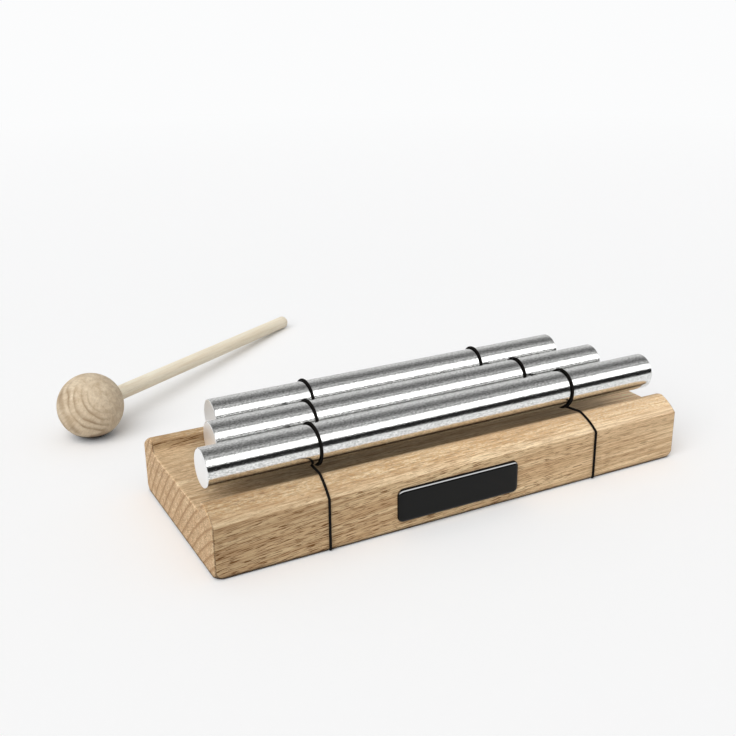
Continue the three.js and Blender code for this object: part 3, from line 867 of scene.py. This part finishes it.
# The room that gloss sees, as (degrees, grey) turning from the back wall overhead to the front
ROOM_STOPS = [(0, 0.50), (20, 0.64), (40, 0.52), (55, 0.31), (67, 0.20), (84, 0.155), (90, 0.32), (95, 0.20),
              (101, 0.58), (106, 0.52), (110, 0.28), (113, 0.30), (117, 1.0), (152.5, 1.0), (156, 0.02),
              (180, 0.02)]
WINDOW_STOPS = [(121, 0.0), (124, 1.0), (148, 1.0), (151, 0.0)]


def glow(tree, colour):
    return node(tree, "Emission", {"Color": (*colour, 1), "Strength": 1.0}).outputs[0]


def background(tree, colour, strength):
    return node(tree, "Background", {"Color": colour, "Strength": strength}).outputs[0]


def blended(tree, share, a, b):
    return node(tree, "MixShader", {0: share, 1: a, 2: b}).outputs[0]


def camera():
    """The photograph's camera: a long lens above and to the left of the block."""
    data = bpy.data.cameras.new("camera")
    data.lens, data.sensor_width = LENS, 36
    data.clip_start, data.clip_end = 0.01, 100
    thing = linked("camera", data)
    azimuth, elevation, roll = (math.radians(a) for a in (AZIMUTH, ELEVATION, ROLL))
    back = Vector((math.sin(azimuth) * math.cos(elevation), -math.cos(azimuth) * math.cos(elevation),
                   math.sin(elevation)))
    thing.rotation_mode = "QUATERNION"
    thing.rotation_quaternion = back.to_track_quat("Z", "Y") @ Quaternion((0, 0, 1), roll)
    thing.location = Vector(CAMERA_AT) * MM
    bpy.context.scene.camera = thing


def sheet(name, reach, back, height, look):
    """A level sheet of the stage, in millimetres: reach to the front and each side, and its back edge."""
    corners = [(-reach, -reach), (reach, -reach), (reach, back), (-reach, back)]
    mesh = bare_mesh(name, [(x, y, height) for x, y in corners], [(0, 1, 2, 3)])
    mesh.materials.append(look)
    thing = linked(name, mesh)
    return thing


def floor():
    """Pale floor that glows far out to the eye and in gloss, and is greyer for the light it throws back."""
    made, tree, shader = material("pale_floor", Roughness=0.9, Specular_IOR_Level=0.1)
    path = node(tree, "LightPath").outputs
    mirrored = plus(tree, path["Is Glossy Ray"], path["Is Transmission Ray"])
    seen = calc(tree, "MINIMUM", 1.0, plus(tree, path["Is Camera Ray"], mirrored))
    tree.links.new(mix(tree, seen, (0.72, 0.71, 0.70), (0.99, 0.992, 0.995)), shader.inputs["Base Color"])
    away = vector_calc(tree, "LENGTH", node(tree, "TexCoord").outputs["Object"]).outputs["Value"]
    share = ramp(tree, over(tree, away, GLOW_METRES), [(0.08, 0.0), (0.35, 1.0)])
    both = blended(tree, times(tree, share, seen), shader.outputs[0], glow(tree, PALE))
    tree.links.new(both, tree.nodes["Material Output"].inputs[0])
    sheet("floor", FLOOR_REACH, FLOOR_REACH, 0.0, made)


def dark_room():
    """What the rods mirror in front of the table: a dark room, seen in gloss alone."""
    made = bpy.data.materials.new("dark_room")
    made.use_nodes = True
    tree = made.node_tree
    tree.nodes.clear()
    tree.links.new(glow(tree, ROOM_DARK), node(tree, "OutputMaterial").inputs[0])
    room = sheet("dark_room", ROOM_REACH, ROOM_FRONT, ROOM_HEIGHT, made)
    room.visible_camera = room.visible_diffuse = room.visible_shadow = room.visible_transmission = False


def world():
    """Even light on the object; gloss sees a window in front, a grey ceiling and a pale back wall."""
    made = bpy.data.worlds.new("studio")
    made.use_nodes = True
    bpy.context.scene.world = made
    tree = made.node_tree
    tree.nodes.clear()
    path = node(tree, "LightPath").outputs
    axes = split(tree, node(tree, "TexCoord").outputs["Generated"])
    turn = over(tree, calc(tree, "ARCTAN2", axes["Z"], axes["Y"]), math.pi)
    room = ramp(tree, turn, [(angle / 180, value) for angle, value in ROOM_STOPS])
    window = ramp(tree, turn, [(angle / 180, value) for angle, value in WINDOW_STOPS])
    mirrored = node(tree, "AddShader", {0: background(tree, room, ROOM_LIGHT),
                                        1: background(tree, window, WINDOW_LIGHT)}).outputs[0]
    # Light that reaches the object: plain, and dim where gloss meets it after a bounce
    gloss = path["Is Glossy Ray"]
    sky = ramp(tree, axes["Z"], [(0.0, 0.8), (1.0, 1.1)])
    plain = background(tree, sky, minus(tree, AMBIENT, times(tree, gloss, AMBIENT - AMBIENT_IN_GLOSS)))
    direct = times(tree, gloss, calc(tree, "LESS_THAN", path["Diffuse Depth"], 0.5))
    around = blended(tree, direct, plain, mirrored)
    seen = blended(tree, path["Is Camera Ray"], around, background(tree, (*PALE, 1), 1.0))
    tree.links.new(seen, node(tree, "OutputWorld").inputs[0])


def sun(name, energy, spread, towards):
    """A lamp with a spread in degrees that stands in a direction and doesn't show in gloss."""
    data = bpy.data.lights.new(name, "SUN")
    data.energy, data.angle = energy, math.radians(spread)
    thing = linked(name, data)
    thing.rotation_mode = "QUATERNION"
    thing.rotation_quaternion = Vector(towards).to_track_quat("Z", "Y")
    thing.visible_glossy = False


bpy.context.scene.view_settings.view_transform = "Standard"
camera()
world()
sun("key", 1.9, 60, (-0.55, -0.45, 0.7))
floor()
dark_room()

# Materials
# Beech: painted light on its tops and rising to the right, painted shade at its foot, under the bars, on the
# walls, brow and upright edges
beech = wood("beech", light=(0.93, 0.725, 0.452), dark=(0.735, 0.51, 0.294), ring=(0.45, 0.265, 0.13),
             pith=(-150.0, -130.0), ring_step=4.3, seed=3.7, flecks=1.0, fine=0.42, ring_side=0.25,
             ring_end=1.0, tilt=(0.055, 0.00022), wobble=8.0, ends=(1.52, 1.57, 1.67),
             tops=(1.21, 1.275, 1.38), mottled=0.6, base_light_and_shade=True,
             foot=[(0.0, 0.08), (0.05, 0.1), (0.09, 0.25), (0.13, 0.7), (0.19, 1.0)],
             painted_light_drift=[(0.0, (0.697, 0.676, 0.645)), (0.5, (0.985, 0.985, 0.972)), (1.0, (1.04, 1.055, 1.087))])
# Ball: painted shade on its underside, given by foot
ball_wood = wood("ball_wood", light=(0.82, 0.695, 0.52), dark=(0.655, 0.52, 0.362), ring=(0.27, 0.17, 0.09),
                 pith=(1.0, 0.0), ring_step=2.5, seed=8.1, flecks=0.06, fine=0.12, ring_side=1.0,
                 ring_end=1.0, roughness=0.6, along=(0.2, -0.8, 0.56), centre=tuple(MALLET_ORIGIN),
                 wobble=9.0, sway=0.045, heart=6.5, soft=True, bold_side=(-0.84, -0.4, -0.36),
                 foot=[(0.0, 0.03), (0.3, 0.08), (0.42, 0.85), (0.55, 1.0)])
stick_wood = wood("stick_wood", light=(1.0, 0.955, 0.81), dark=(1.0, 0.905, 0.725), ring=(0.80, 0.66, 0.47),
                  pith=(9.0, -30.0), ring_step=2.6, seed=5.3, flecks=0.15, fine=0.22, ring_side=0.4,
                  ring_end=0.6, roughness=0.6, along=tuple(MALLET_ALONG), centre=tuple(MALLET_ORIGIN))
aluminium = drawn_aluminium()
elastic = braided_cord()
resin = black_resin()

# Pieces, each with its body, the nodes that it stands for and its material slot
pieces = [
    (base_block(beech), "base", ["base_block"], "beech"),
    (plate(resin), "base", ["front_plate"], "resin"),
    (cord("cover_cord_left", -1, elastic), "base", ["cord_left"], "elastic"),
    (cord("cover_cord_right", 1, elastic), "base", ["cord_right"], "elastic"),
    (knot("tied_knot_left", -1, elastic), "base", ["cord_knot_left"], "elastic"),
    (knot("tied_knot_right", 1, elastic), "base", ["cord_knot_right"], "elastic"),
    (ball(ball_wood), "mallet", ["mallet_ball"], "mallet_wood"),
    (stick(stick_wood), "mallet", ["mallet_stick"], "mallet_wood"),
]
for node_name, body, length, y in BARS:
    pieces.append((bar("rod_" + node_name[4:], length, y, aluminium), body, [node_name], "bar_metal"))
for piece, body, nodes, slot in pieces:
    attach(piece, body)
    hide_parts(*nodes)
